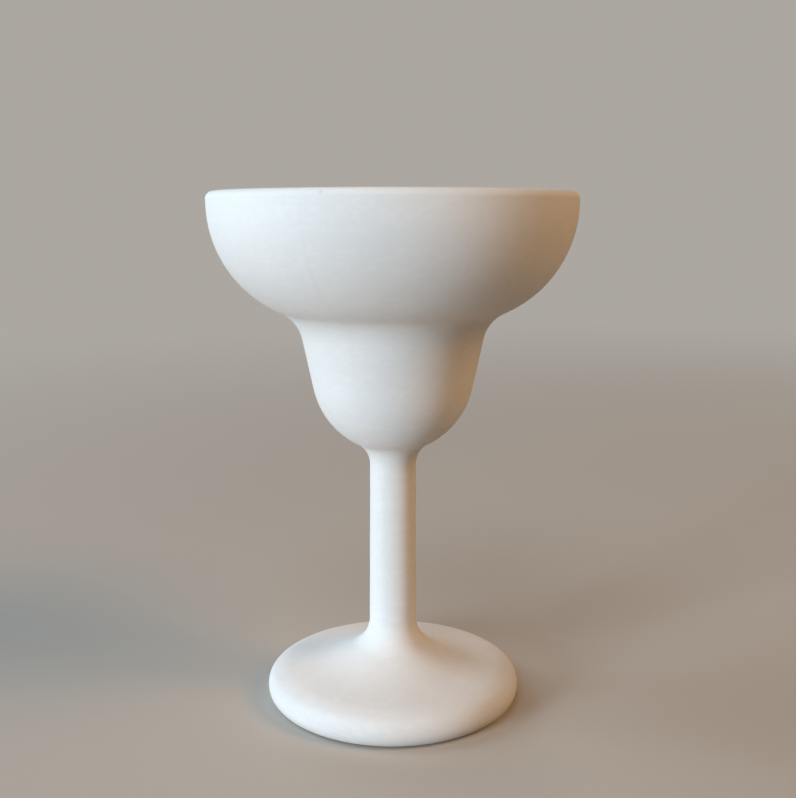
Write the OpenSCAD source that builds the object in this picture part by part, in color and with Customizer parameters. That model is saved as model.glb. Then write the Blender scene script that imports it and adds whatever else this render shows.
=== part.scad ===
// Footed margarita goblet in slip-cast bisque: a bowl, a stem and a foot, stuck together with rings of slip.
// The axis of the goblet is Z, and it stands on the plane Z = 0.

/* [Bowl] */
// Height of the rim above the table, which the length of the stem takes up
height = 182.6; // [150:0.2:220]
// Greatest outside diameter of the bowl
bowl_d = 127; // [118:1:138]
// Wall of the bowl, the same all over because slip settles evenly on the mould
wall = 4.8; // [3.8:0.1:5.8]
// Rounding of the lip outside
lip_outside_r = 2.6; // [0.8:0.1:3]
// Rounding of the lip inside
lip_inside_r = 1.8; // [0.8:0.1:2.4]
// Radius of the upper bowl's swelling side
bowl_curve_r = 40.5; // [24:0.5:46]
// Depth from the rim to the crease between the upper bowl and the well
bowl_depth = 44; // [38:0.2:54]
// Slope of the upper bowl's underside, from the level
bowl_slope = 25.5; // [21:0.5:29]

/* [Well] */
// Diameter of the well where its wall would meet the upper bowl's underside
crease_d = 66.4; // [60:0.2:74]
// Depth from the crease to where the well's underside would meet the stem
well_depth = 46.4; // [40:0.2:54]
// Hollow radius of the crease
crease_r = 13.4; // [5:0.2:18]
// Taper of the well's wall, from the upright
well_taper = 12; // [7:1:16]
// Radius of the well's round base, outside
well_curve_r = 28.8; // [20:0.2:32]
// Radius of the well's round floor, inside
floor_curve_r = 24; // [12:0.5:26]
// Slope of the well's underside, from the level
neck_slope = 27.5; // [20:0.5:34]

/* [Stem] */
// Hollow radius between the well and the stem
neck_r = 9; // [3:0.2:12]
// Diameter of the stem at the neck
stem_top_d = 16.4; // [14:0.2:22]
// Diameter of the stem where it would meet the flare's cone
stem_foot_d = 17.2; // [14:0.2:24]
// Bore that the slip was poured out through
bore_d = 8; // [5:0.5:10]

/* [Foot] */
// Diameter of the foot
foot_d = 91.8; // [82:0.2:104]
// Height where the brow's slope would meet the upright of the foot's edge
foot_edge_h = 8.9; // [8:0.1:12]
// Rounding of the foot's edge above
foot_top_r = 5.6; // [2:0.1:7]
// Rounding of the foot's edge below
foot_under_r = 5.2; // [2:0.1:6]
// Width of the brow, from the edge in to where its slope would meet the foot's top
brow_w = 5.6; // [3:0.1:9]
// Rise of the brow above the edge
brow_rise = 2.8; // [1:0.1:4]
// Swelling radius between the foot's top and the brow
brow_r = 19; // [6:0.5:24]
// Diameter where the foot's top would meet the flare's cone
dish_d = 47.4; // [42:0.2:56]
// Rise of the foot's top from the brow to that meeting
dish_rise = 3; // [1:0.1:4.5]
// Hollow radius between the foot's top and the flare's cone
dish_r = 59.5; // [20:0.5:70]
// Slope of the flare's cone, from the level
flare_slope = 25; // [18:0.5:30]
// Hollow radius between the stem and the flare's cone
flare_r = 11.8; // [6:0.2:16]
// Width of the standing ring under the foot, with its roundings
ring_w = 12; // [9:0.5:15]
// Rounding of the standing ring's inner edge
ring_r = 1.5; // [0.5:0.1:2.5]
// Wall between the foot's top and its hollow underside
foot_wall = 5; // [4:0.1:6]
// Hollow radius inside the recess under the foot
recess_r = 3; // [1:0.2:3.6]
// Rounding of the vent hole's mouth
vent_r = 1.2; // [0.4:0.1:2]

/* [Joints] */
// Straight stub below the neck's corner, down to the joint
bowl_stub = 8.6; // [6:0.2:14]
// Straight stub above the flare's corner, up to the joint
foot_stub = 12; // [10:0.5:18]
// Thickness of the slip in each joint
slip_t = 0.6; // [0.4:0.1:1.5]

/* [Hidden] */

// Steps in one turn about the axis, and the angle of one step along a rounded corner of a profile
$fn = 144;
arc_step = 4;

bisque = [0.93, 0.92, 0.90];
dried_slip = [0.88, 0.86, 0.83];

// Radii of the bowl's outside and inside at the rim, of the bore, of the foot and of its standing ring
rim_r = bowl_d / 2;
mouth_r = rim_r - wall;
bore_r = bore_d / 2;
foot_r = foot_d / 2;
ring_inner_r = foot_r - ring_w;

// Directions along the bowl's straight lines, outwards and up, and their normals into the cavity
upright = [0, 1];
level = [1, 0];
bowl_along = [cos(bowl_slope), sin(bowl_slope)];
bowl_inward = turned(bowl_along, 90);
well_along = [sin(well_taper), cos(well_taper)];
well_inward = turned(well_along, 90);
neck_along = [cos(neck_slope), sin(neck_slope)];

// Corners of the bowl's outside, before rounding: crease, neck, base of the well and shoulder
crease = [crease_d / 2, height - bowl_depth];
neck = [stem_top_d / 2, crease[1] - well_depth];
well_base = meet(crease, well_along, neck, neck_along);
shoulder = meet([rim_r, 0], upright, crease, bowl_along);

// Corners of the cavity, on lines one wall inside, with its floor one wall above the well's round base
bowl_line = crease + wall * bowl_inward;
well_line = crease + wall * well_inward;
cavity_shoulder = meet([mouth_r, 0], upright, bowl_line, bowl_along);
cavity_crease = meet(bowl_line, bowl_along, well_line, well_along);
floor_h = fillet_centre(well_base, well_along, -neck_along, well_curve_r)[1] - well_curve_r + wall;
cavity_base = meet(well_line, well_along, [0, floor_h], level);

// Corners of the foot's top, and the directions along it, outwards and down
brow = [foot_r - brow_w, foot_edge_h + brow_rise];
dish = [dish_d / 2, brow[1] + dish_rise];
top_along = unit(brow - dish);
flare_along = [cos(flare_slope), -sin(flare_slope)];
flare = meet([stem_foot_d / 2, 0], upright, dish, flare_along);

// Corners of the recess under the foot, on lines one wall below the top: vent, dish and ring
flare_line = dish + foot_wall * turned(flare_along, -90);
top_line = dish + foot_wall * turned(top_along, -90);
vent = meet([bore_r, 0], upright, flare_line, flare_along);
recess_dish = meet(flare_line, flare_along, top_line, top_along);
recess_edge = meet([ring_inner_r, 0], upright, top_line, top_along);

// Heights of the two joints
bowl_seat_h = neck[1] - bowl_stub;
foot_seat_h = flare[1] + foot_stub;

// Radius of the stem's straight taper at height h
function stem_r(h) = flare[0] + (neck[0] - flare[0]) * (h - flare[1]) / (neck[1] - flare[1]);

// Point where the line through p along u meets the line through q along v
function meet(p, u, q, v) = p + u * cross(q - p, v) / cross(u, v);

// Vector v made one unit long, and vector v turned by an angle
function unit(v) = v / norm(v);
function turned(v, angle) = [v[0] * cos(angle) - v[1] * sin(angle), v[0] * sin(angle) + v[1] * cos(angle)];

// Centre of a fillet at a corner whose sides leave it along the unit vectors back and ahead
function fillet_centre(corner, back, ahead, r) =
    corner + unit(back + ahead) * r / sin(acos(back * ahead) / 2);

// A profile is a closed list of corners [radius, height, fillet]. Side i leads from corner i to the next.
function place(corner) = [corner[0], corner[1]];
function before(profile, i) = (i + len(profile) - 1) % len(profile);
function after(profile, i) = (i + 1) % len(profile);
function side(profile, i) = place(profile[after(profile, i)]) - place(profile[i]);

// Length that the fillet at corner i takes from each of the sides that meet there
function reach(profile, i) =
    let (back = -unit(side(profile, before(profile, i))), ahead = unit(side(profile, i)))
    profile[i][2] / tan(acos(back * ahead) / 2);

// Share of the fillets at its two ends that side i has room for
function room(profile, i) =
    let (wanted = reach(profile, i) + reach(profile, after(profile, i)))
    wanted > 0 ? min(1, norm(side(profile, i)) / wanted) : 1;

// Points of corner i: the corner itself, or an arc that leaves both of its sides smoothly
function corner_points(profile, i) =
    let (
        corner = place(profile[i]),
        back = -unit(side(profile, before(profile, i))),
        ahead = unit(side(profile, i)),
        r = profile[i][2] * min(room(profile, before(profile, i)), room(profile, i)),
        centre = fillet_centre(corner, back, ahead, r),
        turn = 180 - acos(back * ahead),
        sense = cross(ahead, back) > 0 ? 1 : -1,
        start = corner + back * r * tan(turn / 2) - centre,
        steps = ceil(turn / arc_step)
    )
    r == 0 ? [corner] : [for (k = [0 : steps]) centre + turned(start, sense * turn * k / steps)];

// A corner of a profile, from its place and its fillet
function rounded(corner, r) = [corner[0], corner[1], r];

// Solid of revolution with the corners of its profile rounded
module turned_solid(profile) {
    rotate_extrude() polygon([for (i = [0 : len(profile) - 1]) each corner_points(profile, i)]);
}

// Tube along the stem's taper, from height low to height high
module stem_length(low, high) {
    turned_solid([
        [bore_r, low, 0],
        [stem_r(low), low, 0],
        [stem_r(high), high, 0],
        [bore_r, high, 0]
    ]);
}

// Upper bowl and well in one even shell, closed by a solid stub that sits on the stem
module bowl() {
    color(bisque) turned_solid([
        [0, bowl_seat_h, 0],
        [stem_r(bowl_seat_h), bowl_seat_h, 0],
        rounded(neck, neck_r),
        rounded(well_base, well_curve_r),
        rounded(crease, crease_r),
        rounded(shoulder, bowl_curve_r),
        [rim_r, height, lip_outside_r],
        [mouth_r, height, lip_inside_r],
        rounded(cavity_shoulder, bowl_curve_r - wall),
        rounded(cavity_crease, crease_r + wall),
        rounded(cavity_base, floor_curve_r),
        [0, floor_h, 0]
    ]);
}

// Ring of slip between the bowl's stub and the stem
module bowl_joint_slip() {
    color(dried_slip) stem_length(bowl_seat_h - slip_t, bowl_seat_h);
}

// Hollow stem, cut square at both ends
module stem() {
    color(bisque) stem_length(foot_seat_h + slip_t, bowl_seat_h - slip_t);
}

// Ring of slip between the stem and the foot's collar
module foot_joint_slip() {
    color(dried_slip) stem_length(foot_seat_h, foot_seat_h + slip_t);
}

// Collar, flare and foot in one casting, hollow underneath, with the vent hole in line with the bore
module foot() {
    color(bisque) turned_solid([
        [bore_r, foot_seat_h, 0],
        rounded(vent, vent_r),
        rounded(recess_dish, dish_r + foot_wall),
        rounded(recess_edge, recess_r),
        [ring_inner_r, 0, ring_r],
        [foot_r, 0, foot_under_r],
        [foot_r, foot_edge_h, foot_top_r],
        rounded(brow, brow_r),
        rounded(dish, dish_r),
        rounded(flare, flare_r),
        [stem_r(foot_seat_h), foot_seat_h, 0]
    ]);
}

bowl();
bowl_joint_slip();
stem();
foot_joint_slip();
foot();
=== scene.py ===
import math

import bmesh
import bpy
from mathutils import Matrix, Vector, noise


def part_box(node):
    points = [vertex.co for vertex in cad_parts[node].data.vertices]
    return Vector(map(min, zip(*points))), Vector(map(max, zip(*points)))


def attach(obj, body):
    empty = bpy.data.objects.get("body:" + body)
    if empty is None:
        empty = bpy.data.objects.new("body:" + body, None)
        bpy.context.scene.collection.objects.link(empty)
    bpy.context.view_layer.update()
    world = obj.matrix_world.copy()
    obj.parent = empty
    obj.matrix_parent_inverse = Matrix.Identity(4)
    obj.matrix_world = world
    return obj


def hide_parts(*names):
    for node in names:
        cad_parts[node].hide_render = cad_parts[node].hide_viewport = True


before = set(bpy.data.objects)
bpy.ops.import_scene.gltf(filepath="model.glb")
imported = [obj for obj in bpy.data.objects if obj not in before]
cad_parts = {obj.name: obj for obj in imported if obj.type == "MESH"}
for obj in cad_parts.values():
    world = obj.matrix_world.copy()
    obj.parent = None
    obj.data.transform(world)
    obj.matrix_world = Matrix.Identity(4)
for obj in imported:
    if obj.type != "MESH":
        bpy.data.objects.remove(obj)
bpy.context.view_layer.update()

# Bowl. The whole cup in one casting of white slip: a wide upper bowl that steps down into a narrow well.
# It was cast in a two-part plaster mould, fettled along the mould's seam, sponged smooth and fired once
# without glaze. Its solid stub sits on the stem. All sizes of the goblet are in millimetres.
MM = 0.001
RIM_R = 63.5
RIM_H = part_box("bowl")[1].z / MM
WALL = 4.8
LIP_OUTSIDE_R = 2.6
LIP_INSIDE_R = 1.8
BOWL_CURVE_R = 40.5
BOWL_DEPTH = 44.0
BOWL_SLOPE = math.radians(25.5)
CREASE_D = 66.4
CREASE_R = 13.4
WELL_DEPTH = 46.4
WELL_TAPER = math.radians(12)
WELL_CURVE_R = 28.8
FLOOR_CURVE_R = 24.0
NECK_R = 9.0
NECK_SLOPE = math.radians(27.5)
BOWL_SEAT_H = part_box("bowl")[0].z / MM

# The stem tapers from the neck to where it would meet the cone of the foot's flare
STEM_TOP_D = 16.4
STEM_FOOT_D = 17.2
FLARE_H = 21.74

crease = Vector((CREASE_D / 2, RIM_H - BOWL_DEPTH))
neck = Vector((STEM_TOP_D / 2, crease.y - WELL_DEPTH))
stem_foot = Vector((STEM_FOOT_D / 2, FLARE_H))
upright = Vector((0, 1))
level = Vector((1, 0))


def meet(p, u, q, v):
    """Point where the line through p along u meets the line through q along v."""
    return p + u * ((q - p).cross(v) / u.cross(v))


def along(angle):
    """Unit vector in the half section, at an angle above the level."""
    return Vector((math.cos(angle), math.sin(angle)))


def stem_r(h):
    """Radius of the stem's straight taper at a height."""
    return stem_foot.x + (neck.x - stem_foot.x) * (h - stem_foot.y) / (neck.y - stem_foot.y)


def rounding(corner, before, after, radius):
    """Start, centre and turn of the arc that rounds a corner between its two neighbours."""
    back = (before - corner).normalized()
    ahead = (after - corner).normalized()
    half = back.angle(ahead) / 2
    start = corner + back * radius / math.tan(half)
    centre = corner + (back + ahead).normalized() * radius / math.sin(half)
    sense = 1 if ahead.cross(back) > 0 else -1
    return start, centre, sense * (math.pi - 2 * half)


SAME_POINT = 1e-3
ARC_STEP = math.radians(3)
FEWEST_ARC_STEPS = 2


def in_section(point):
    """A point of the half section as a place in the model."""
    return Vector((point.x, 0, point.y)) * MM


def draw_line(bm, end, point):
    """Draws the section on from its end to a point, and returns the new end."""
    place = in_section(point)
    if (place - end.co).length < SAME_POINT * MM:
        return end
    fresh = bmesh.ops.extrude_vert_indiv(bm, verts=[end])["verts"][0]
    bmesh.ops.translate(bm, verts=[fresh], vec=place - end.co)
    return fresh


def draw_arc(bm, end, centre, turn):
    """Draws the section on by an arc about a centre, and returns the new end."""
    steps = max(FEWEST_ARC_STEPS, math.ceil(abs(turn) / ARC_STEP))
    made = bmesh.ops.spin(
        bm, geom=[end], cent=in_section(centre), axis=(0, -1, 0), angle=turn, steps=steps,
    )
    return made["geom_last"][0]


# This number of steps in a turn puts a row of vertices along the mould's seam
TURN_STEPS = 216
LONGEST_EDGE = 2.5
MERGE_GAP = 1e-4
NO_LENGTH = 1e-5


def turned_piece(corners, closed):
    """Turns a half section about the axis. Corners are (place, rounding), and closed joins its two ends."""
    bm = bmesh.new()
    count = len(corners)
    end = bm.verts.new(in_section(corners[0][0]))
    for i in range(1, count + closed):
        place, radius = corners[i % count]
        if radius:
            before = corners[i - 1][0]
            after = corners[(i + 1) % count][0]
            start, centre, turn = rounding(place, before, after, radius)
            end = draw_arc(bm, draw_line(bm, end, start), centre, turn)
        else:
            end = draw_line(bm, end, place)
    for edge in bm.edges[:]:
        cuts = math.ceil(edge.calc_length() / (LONGEST_EDGE * MM)) - 1
        if cuts > 0:
            bmesh.ops.subdivide_edges(bm, edges=[edge], cuts=cuts)
    bmesh.ops.spin(
        bm, geom=bm.verts[:] + bm.edges[:], cent=(0, 0, 0), axis=(0, 0, 1),
        angle=math.tau, steps=TURN_STEPS, use_merge=True,
    )
    bmesh.ops.remove_doubles(bm, verts=bm.verts, dist=MERGE_GAP * MM)
    bmesh.ops.dissolve_degenerate(bm, edges=bm.edges, dist=NO_LENGTH * MM)
    bmesh.ops.recalc_face_normals(bm, faces=bm.faces)
    return bm


# The seam runs up two opposite sides. The skin sinks more than it swells, and so keeps within its size.
SEAM_TURN = math.radians(245)
SEAM_ACROSS = Vector((-math.sin(SEAM_TURN), math.cos(SEAM_TURN), 0))
SEAM_HALF_W = 1.5
SEAM_CUTS = (-1, -0.5, 0.5, 1)
SEAM_PROUD = 0.03
UNEVEN = 0.07
UNEVEN_LENGTH = 26.0
UNEVEN_SINK = 0.6


def fettle(bm, moulded):
    """Leaves the seam a little proud and the sponged skin uneven, as far as moulded(vertex) says."""
    for cut in SEAM_CUTS:
        bmesh.ops.bisect_plane(
            bm, geom=bm.verts[:] + bm.edges[:] + bm.faces[:], dist=SAME_POINT * MM,
            plane_co=SEAM_ACROSS * cut * SEAM_HALF_W * MM, plane_no=SEAM_ACROSS,
        )
    bm.normal_update()
    layer = bm.verts.layers.float.new("mould_side")
    moves = []
    for vert in bm.verts:
        skin = moulded(vert)
        vert[layer] = skin
        off_seam = abs(vert.co.dot(SEAM_ACROSS)) / (SEAM_HALF_W * MM)
        ridge = SEAM_PROUD * math.cos(min(1, off_seam) * math.pi / 2) ** 2
        wave = UNEVEN * (noise.noise(vert.co / (UNEVEN_LENGTH * MM)) - UNEVEN_SINK)
        moves.append((vert, vert.normal * skin * (ridge + wave) * MM))
    for vert, move in moves:
        vert.co += move


CUT_EDGE = math.radians(40)


def finished(name, bm, material):
    """Makes a shaped mesh an object of the model, smooth but for its cut edges."""
    mesh = bpy.data.meshes.new(name)
    bm.to_mesh(mesh)
    bm.free()
    mesh.shade_smooth()
    mesh.set_sharp_from_angle(angle=CUT_EDGE)
    mesh.materials.append(material)
    piece = bpy.data.objects.new(name, mesh)
    bpy.context.scene.collection.objects.link(piece)
    return piece


# A Mix node for colours, and its sockets
COLOUR_MIX = {"data_type": "RGBA", "blend_type": "MIX"}
MIX_FACTOR = 0
MIX_FIRST = 6
MIX_SECOND = 7
MIX_RESULT = 2


class Finish:
    """A socket in a material. Operators between it and other values add Math nodes."""

    def __init__(self, tree, socket=None):
        self.tree = tree
        self.socket = socket

    def node(self, kind, settings, values, out=0):
        """Adds a node with its settings and its sockets' values or links, and wraps one output."""
        made = self.tree.nodes.new("ShaderNode" + kind)
        for key, value in settings.items():
            setattr(made, key, value)
        for key, value in values.items():
            if isinstance(value, Finish):
                self.tree.links.new(value.socket, made.inputs[key])
            else:
                made.inputs[key].default_value = value
        return Finish(self.tree, made.outputs[out])

    def maths(self, operation, a, b):
        """Adds a Math node on two values."""
        return self.node("Math", {"operation": operation}, {0: a, 1: b})

    def __add__(self, other):
        return self.maths("ADD", self, other)

    def __radd__(self, other):
        return self.maths("ADD", other, self)

    def __sub__(self, other):
        return self.maths("SUBTRACT", self, other)

    def __rsub__(self, other):
        return self.maths("SUBTRACT", other, self)

    def __mul__(self, other):
        return self.maths("MULTIPLY", self, other)

    def __rmul__(self, other):
        return self.maths("MULTIPLY", other, self)

    def smooth(self, low, high):
        """0 below low, 1 above high, and a smooth step between them."""
        return self.node(
            "MapRange", {"interpolation_type": "SMOOTHSTEP"},
            {"Value": self, "From Min": low, "From Max": high},
        )

    def between(self, first, second):
        """The first colour where this value is 0, the second where it is 1, and a mix between."""
        sockets = {MIX_FACTOR: self, MIX_FIRST: (*first, 1), MIX_SECOND: (*second, 1)}
        return self.node("Mix", COLOUR_MIX, sockets, out=MIX_RESULT)

    def tint(self, factor, colour):
        """This colour mixed with another by a factor."""
        sockets = {MIX_FACTOR: factor, MIX_FIRST: self, MIX_SECOND: (*colour, 1)}
        return self.node("Mix", COLOUR_MIX, sockets, out=MIX_RESULT)


BISQUE = (0.80, 0.785, 0.765)
BISQUE_WARM = (0.80, 0.772, 0.74)
BISQUE_GREY = (0.755, 0.745, 0.73)
SEAM_TONE = (0.70, 0.68, 0.655)
PIT_TONE = (0.42, 0.38, 0.34)

# Depths below the rim and heights above the table where wiping and rubbing are full, and where they end
WIPED_FULL = 7.0
WIPED_END = 21.0
RUBBED_FULL = 0.2
RUBBED_END = 1.0
RUBBED_SHARE = 0.5

# The seam's line is faint on the well, stem and foot, and clear on the upper bowl
SEAM_FAINT = 0.25
SEAM_FAINT_H = 125.0
SEAM_CLEAR_H = 145.0
SEAM_SHARE = 0.28

# Pinholes lie one in a cell, with their edge in shares of a cell. The one larger speck is under the lip.
PIT_CELLS_IN_METRE = 80.0
PIT_EDGE = (0.014, 0.028)
PIT_SHARE = 0.2
SPECK = Vector((-20.4, -59.8, RIM_H - 1.4)) * MM
SPECK_FULL_R = 0.35
SPECK_END_R = 1.0
SPECK_SHARE = 0.24

RELIEF = 0.35
RELIEF_H = 0.12
LEAST_ROUGHNESS = 0.86
ROUGHNESS_SPREAD = 0.12
FAINT_GLOSS = 0.25


def bisque_finish(name, base, warm):
    """Unglazed, bisque-fired slip: chalky and clouded, with sponge marks, a seam line and a few pinholes."""
    material = bpy.data.materials.new(name)
    material.use_nodes = True
    tree = material.node_tree
    shader = tree.nodes["Principled BSDF"]
    paint = Finish(tree)
    place = paint.node("TexCoord", {}, {}, out="Object")
    up = paint.node("SeparateXYZ", {}, {"Vector": place}, out="Z")

    def cloud(scale, detail, finer=(1, 1, 1)):
        """Clouds of a scale, so many in a metre, that may be finer along X, Y or Z."""
        shaped = paint.node("Mapping", {}, {"Vector": place, "Scale": finer})
        return paint.node("TexNoise", {}, {"Vector": shaped, "Scale": scale, "Detail": detail})

    broad = cloud(scale=38, detail=2)
    bands = cloud(scale=26, detail=3, finer=(0.35, 0.35, 9))
    grain = cloud(scale=1500, detail=2)
    mottle = cloud(scale=240, detail=3, finer=(0.5, 0.5, 1.5))
    chalk = cloud(scale=620, detail=2, finer=(0.6, 0.6, 1.4))
    wiped = up.smooth((RIM_H - WIPED_END) * MM, (RIM_H - WIPED_FULL) * MM)
    wipes = cloud(scale=58, detail=2, finer=(0.12, 0.12, 10)) * wiped
    rubbed = 1 - up.smooth(RUBBED_FULL * MM, RUBBED_END * MM)

    mould_side = paint.node("Attribute", {"attribute_name": "mould_side"}, {}, out="Fac")
    across = paint.node("VectorMath", {"operation": "DOT_PRODUCT"}, {0: place, 1: SEAM_ACROSS}, out="Value")
    off_seam = paint.node("Math", {"operation": "ABSOLUTE"}, {0: across})
    clear = SEAM_FAINT + (1 - SEAM_FAINT) * up.smooth(SEAM_FAINT_H * MM, SEAM_CLEAR_H * MM)
    broken = cloud(scale=90, detail=2).smooth(low=0.42, high=0.6) * clear
    seam = (1 - off_seam.smooth(0, SEAM_HALF_W * MM)) * mould_side * broken

    cells = paint.node("TexVoronoi", {}, {"Vector": place, "Scale": PIT_CELLS_IN_METRE})
    pits = 1 - cells.smooth(*PIT_EDGE)
    from_speck = paint.node("VectorMath", {"operation": "DISTANCE"}, {0: place, 1: SPECK}, out="Value")
    speck = 1 - from_speck.smooth(SPECK_FULL_R * MM, SPECK_END_R * MM)

    colour = broad.smooth(low=0.3, high=0.7).between(base, warm)
    grey_marks = (
        (bands, 0.4, 0.7, 0.5),
        (wipes, 0.35, 0.7, 0.4),
        (mottle, 0.35, 0.65, 0.65),
        (chalk, 0.35, 0.65, 0.8),
    )
    for mark, low, high, share in grey_marks:
        colour = colour.tint(mark.smooth(low, high) * share, BISQUE_GREY)
    colour = colour.tint(rubbed * RUBBED_SHARE, BISQUE_GREY)
    colour = colour.tint(seam * SEAM_SHARE, SEAM_TONE)
    colour = colour.tint(pits * PIT_SHARE + speck * SPECK_SHARE, PIT_TONE)

    # Each mark has its share of the relief
    height = grain * 0.35 + mottle * 0.5 + bands * 0.6 + wipes * 0.5 - pits * 1.5
    relief = {"Height": height, "Strength": RELIEF, "Distance": RELIEF_H * MM}
    bump = paint.node("Bump", {}, relief, out="Normal")
    rough = LEAST_ROUGHNESS + grain * ROUGHNESS_SPREAD
    tree.links.new(colour.socket, shader.inputs["Base Color"])
    tree.links.new(rough.socket, shader.inputs["Roughness"])
    tree.links.new(bump.socket, shader.inputs["Normal"])
    shader.inputs["Specular IOR Level"].default_value = FAINT_GLOSS
    return material


bisque = bisque_finish("bisque", BISQUE, BISQUE_WARM)

bowl_along = along(BOWL_SLOPE)
well_along = along(math.pi / 2 - WELL_TAPER)
neck_along = along(NECK_SLOPE)
well_base = meet(crease, well_along, neck, neck_along)
shoulder = meet(Vector((RIM_R, 0)), upright, crease, bowl_along)

# The cavity follows lines one wall inside, and its floor is one wall above the well's round base
bowl_line = crease + WALL * along(BOWL_SLOPE + math.pi / 2)
well_line = crease + WALL * along(math.pi - WELL_TAPER)
mouth = Vector((RIM_R - WALL, RIM_H))
cavity_shoulder = meet(mouth, upright, bowl_line, bowl_along)
cavity_crease = meet(bowl_line, bowl_along, well_line, well_along)
well_centre = rounding(well_base, neck, crease, WELL_CURVE_R)[1]
floor_h = well_centre.y - WELL_CURVE_R + WALL
cavity_base = meet(well_line, well_along, Vector((0, floor_h)), level)

bowl_mesh = turned_piece([
    (Vector((0, BOWL_SEAT_H)), 0),
    (Vector((stem_r(BOWL_SEAT_H), BOWL_SEAT_H)), 0),
    (neck, NECK_R),
    (well_base, WELL_CURVE_R),
    (crease, CREASE_R),
    (shoulder, BOWL_CURVE_R),
    (Vector((RIM_R, RIM_H)), LIP_OUTSIDE_R),
    (mouth, LIP_INSIDE_R),
    (cavity_shoulder, BOWL_CURVE_R - WALL),
    (cavity_crease, CREASE_R + WALL),
    (cavity_base, FLOOR_CURVE_R),
    (Vector((0, floor_h)), 0),
], closed=False)

LIP_FADE = 6.0
JOINT_FADE = 4.0
OUTSIDE_LEAN = 0.35


def ramp(distance, length):
    """0 at no distance, rising to 1 at a length and beyond it."""
    return min(1, max(0, distance / length))


def outside_of_bowl(vert):
    """1 on the side that lay against the mould, falling to 0 over the lip and at the joint, and 0 inside."""
    outward = Vector((vert.co.x, vert.co.y, -OUTSIDE_LEAN * vert.co.to_2d().length))
    if vert.normal.dot(outward) <= 0:
        return 0
    h = vert.co.z / MM
    return ramp(RIM_H - h, LIP_FADE) * ramp(h - BOWL_SEAT_H, JOINT_FADE)


fettle(bowl_mesh, outside_of_bowl)
bowl = finished("cast_bowl", bowl_mesh, bisque)
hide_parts("bowl")
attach(bowl, "root")

# Bowl's joint. A thin ring of the same slip, brushed on to stick the bowl's stub to the stem.
# It was sponged flush while it was wet, and the kiln fused it to both pieces.
BORE_R = 4.0
SLIP_T = 0.6
SLIP = (0.785, 0.768, 0.745)
SLIP_WARM = (0.785, 0.757, 0.722)

joint_slip = bisque_finish("joint_slip", SLIP, SLIP_WARM)


def stem_length(low, high):
    """Tube along the stem's taper, from one height to another."""
    return turned_piece([
        (Vector((BORE_R, low)), 0),
        (Vector((stem_r(low), low)), 0),
        (Vector((stem_r(high), high)), 0),
        (Vector((BORE_R, high)), 0),
    ], closed=True)


bowl_slip = finished("bowl_slip_ring", stem_length(BOWL_SEAT_H - SLIP_T, BOWL_SEAT_H), joint_slip)
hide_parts("bowl_joint_slip")
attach(bowl_slip, "root")

# Stem. A plain tube of cast bisque, a little wider at the bottom, cut square at both ends.
# Its bore is what was left when the spare slip was poured out of the mould.
FOOT_SEAT_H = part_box("foot")[1].z / MM

stem_low = FOOT_SEAT_H + SLIP_T
stem_high = BOWL_SEAT_H - SLIP_T
stem_mesh = stem_length(stem_low, stem_high)


def faces_out(vert):
    """Whether the surface at a vertex faces away from the axis."""
    return vert.normal.dot(vert.co * Vector((1, 1, 0))) > 0


def outside_of_stem(vert):
    """1 on the moulded side, falling to 0 at the two joints, and 0 in the bore."""
    h = vert.co.z / MM
    return ramp(min(h - stem_low, stem_high - h), JOINT_FADE) if faces_out(vert) else 0


fettle(stem_mesh, outside_of_stem)
stem = finished("cast_stem", stem_mesh, bisque)
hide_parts("stem")
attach(stem, "root")

# Stem's lower joint. The second ring of slip, between the stem and the foot's collar.
# It is brushed on, sponged flush and fired like the first.
foot_slip = finished("foot_slip_ring", stem_length(FOOT_SEAT_H, FOOT_SEAT_H + SLIP_T), joint_slip)
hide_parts("foot_joint_slip")
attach(foot_slip, "root")

# Foot. Collar, flare and low domed foot in one casting, with a rolled edge and a hollow underside.
# It stands on a ring that was wiped flat, and the vent hole in its middle leads into the stem's bore.
FOOT_R = 45.9
FOOT_EDGE_H = 8.9
FOOT_TOP_R = 5.6
FOOT_UNDER_R = 5.2
BROW_W = 5.6
BROW_RISE = 2.8
BROW_R = 19.0
DISH_D = 47.4
DISH_RISE = 3.0
DISH_R = 59.5
FLARE_R = 11.8
RING_W = 12.0
RING_EDGE_R = 1.5
FOOT_WALL = 5.0
RECESS_R = 3.0
VENT_R = 1.2

brow = Vector((FOOT_R - BROW_W, FOOT_EDGE_H + BROW_RISE))
dish = Vector((DISH_D / 2, brow.y + DISH_RISE))
ring = Vector((FOOT_R - RING_W, 0))
flare_along = (dish - stem_foot).normalized()
top_along = (brow - dish).normalized()

# The hollow underside follows lines one wall below the flare and the top
flare_line = dish + FOOT_WALL * Vector((flare_along.y, -flare_along.x))
top_line = dish + FOOT_WALL * Vector((top_along.y, -top_along.x))
foot_mesh = turned_piece([
    (Vector((BORE_R, FOOT_SEAT_H)), 0),
    (meet(Vector((BORE_R, 0)), upright, flare_line, flare_along), VENT_R),
    (meet(flare_line, flare_along, top_line, top_along), DISH_R + FOOT_WALL),
    (meet(ring, upright, top_line, top_along), RECESS_R),
    (ring, RING_EDGE_R),
    (Vector((FOOT_R, 0)), FOOT_UNDER_R),
    (Vector((FOOT_R, FOOT_EDGE_H)), FOOT_TOP_R),
    (brow, BROW_R),
    (dish, DISH_R),
    (stem_foot, FLARE_R),
    (Vector((stem_r(FOOT_SEAT_H), FOOT_SEAT_H)), 0),
], closed=True)

RING_FADE = 4.0
LEAST_UPWARD = 0.02


def top_of_foot(vert):
    """1 on the moulded top and edge, falling to 0 at the ring and the joint, and 0 on the inner sides."""
    if not faces_out(vert) and vert.normal.z <= LEAST_UPWARD:
        return 0
    h = vert.co.z / MM
    return ramp(h, RING_FADE) * ramp(FOOT_SEAT_H - h, JOINT_FADE)


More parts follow.
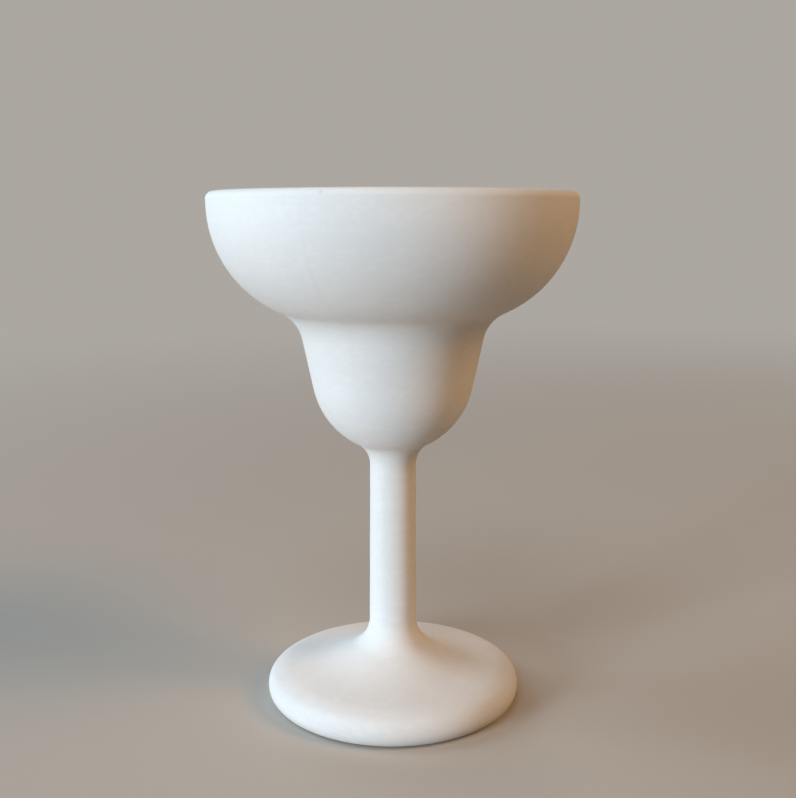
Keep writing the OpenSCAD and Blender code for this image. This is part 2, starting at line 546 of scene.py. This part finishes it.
fettle(foot_mesh, top_of_foot)
foot = finished("cast_foot", foot_mesh, bisque)
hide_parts("foot")
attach(foot, "root")

# Floor and backdrop. A wide round table of plain board, matt and unmarked, that lies under the goblet and
# fades into an even backdrop all round. It looks pale, but throws little light back on the goblet, and that
# is warm. From here on, sizes are in metres.
FLOOR_R = 6.0
FLOOR_SIDES = 96
FLOOR_FADE = (0.1, 1.5)
BOARD = (0.54, 0.505, 0.46)
BOARD_BOUNCE = (0.39, 0.325, 0.255)
BACKDROP = (0.41, 0.388, 0.355)
BLACK = (0, 0, 0)
ROOM = (0.01, 0.01, 0.01)
SEEN_BY = ("Is Camera Ray", "Is Glossy Ray", "Is Transmission Ray")


def seen_rays(paint):
    """1 for rays that show a surface to the camera, also by gloss or glass, and 0 for other rays."""
    straight, by_gloss, by_glass = (paint.node("LightPath", {}, {}, out=kind) for kind in SEEN_BY)
    return paint.node("Clamp", {}, {"Value": straight + by_gloss + by_glass})


board = bpy.data.materials.new("pale_board")
board.use_nodes = True
board_shader = board.node_tree.nodes["Principled BSDF"]
board_paint = Finish(board.node_tree)
spot = board_paint.node("TexCoord", {}, {}, out="Object")
from_goblet = board_paint.node("VectorMath", {"operation": "LENGTH"}, {0: spot}, out="Value")
seen = seen_rays(board_paint)
faded = seen * from_goblet.smooth(*FLOOR_FADE)
near_tone = seen.between(BOARD_BOUNCE, BOARD).tint(faded, BLACK)
far_tone = faded.between(BLACK, BACKDROP)
board.node_tree.links.new(near_tone.socket, board_shader.inputs["Base Color"])
board.node_tree.links.new(far_tone.socket, board_shader.inputs["Emission Color"])
board_shader.inputs["Emission Strength"].default_value = 1
board_shader.inputs["Roughness"].default_value = 1
board_shader.inputs["Specular IOR Level"].default_value = 0

floor_mesh = bmesh.new()
bmesh.ops.create_circle(floor_mesh, cap_ends=True, segments=FLOOR_SIDES, radius=FLOOR_R)
floor = finished("floor_board", floor_mesh, board)

room = bpy.data.worlds.new("room")
room.use_nodes = True
room_tone = seen_rays(Finish(room.node_tree)).between(ROOM, BACKDROP)
room.node_tree.links.new(room_tone.socket, room.node_tree.nodes["Background"].inputs["Color"])
bpy.context.scene.world = room

# Light. A cool soft box stands low at the left, towards the camera. Another cool one is high in front, and a
# third is high at the left. A warm one, high at the right, fills the shadows, and a plain one low behind the
# goblet lights its back.
AIM = Vector((0, 0, 0.10))
LAMP_DISTANCE = 2.2
COOL = (0.76, 0.89, 1.0)
WARM = (1.0, 0.60, 0.29)
PLAIN = (0.95, 0.97, 1.0)


def soft_box(name, turn, rise, size, watts, colour):
    """A flat square lamp that faces the goblet. Turn is in degrees to the right of the camera's side."""
    light = bpy.data.lights.new(name, "AREA")
    light.shape = "SQUARE"
    light.size = size
    light.energy = watts
    light.color = colour
    lamp = bpy.data.objects.new(name, light)
    around = math.radians(turn)
    up = math.radians(rise)
    towards = Vector((math.sin(around) * math.cos(up), -math.cos(around) * math.cos(up), math.sin(up)))
    lamp.location = AIM + LAMP_DISTANCE * towards
    lamp.rotation_euler = towards.to_track_quat("Z", "Y").to_euler()
    lamp.visible_camera = False
    bpy.context.scene.collection.objects.link(lamp)


soft_box("soft_key", turn=-48.5, rise=6, size=0.7, watts=50, colour=COOL)
soft_box("soft_front", turn=-20, rise=55, size=1.1, watts=9, colour=COOL)
soft_box("soft_back", turn=-98, rise=37, size=1.1, watts=15, colour=COOL)
soft_box("soft_fill", turn=71, rise=40, size=1.0, watts=21.5, colour=WARM)
soft_box("soft_rear", turn=-160, rise=12, size=1.1, watts=15, colour=PLAIN)
bpy.context.scene.view_settings.view_transform = "Standard"

# Camera. It stands in front of the goblet, a little below the height of the rim and a forearm's length away,
# and looks slightly down. The image's width and the focal length in pixels give its angle of view.
IMAGE_W = 796
FOCAL_PX = 1050
CAMERA_AT = Vector((0.00181, -0.3673, 0.1740))
CAMERA_DOWN = math.radians(9.825)
NEAREST_SEEN = 0.01

lens = bpy.data.cameras.new("photo_view")
lens.sensor_fit = "HORIZONTAL"
lens.angle = 2 * math.atan(IMAGE_W / 2 / FOCAL_PX)
lens.clip_start = NEAREST_SEEN
camera = bpy.data.objects.new("photo_view", lens)
camera.location = CAMERA_AT
camera.rotation_euler = (math.pi / 2 - CAMERA_DOWN, 0, 0)
bpy.context.scene.collection.objects.link(camera)
bpy.context.scene.camera = camera
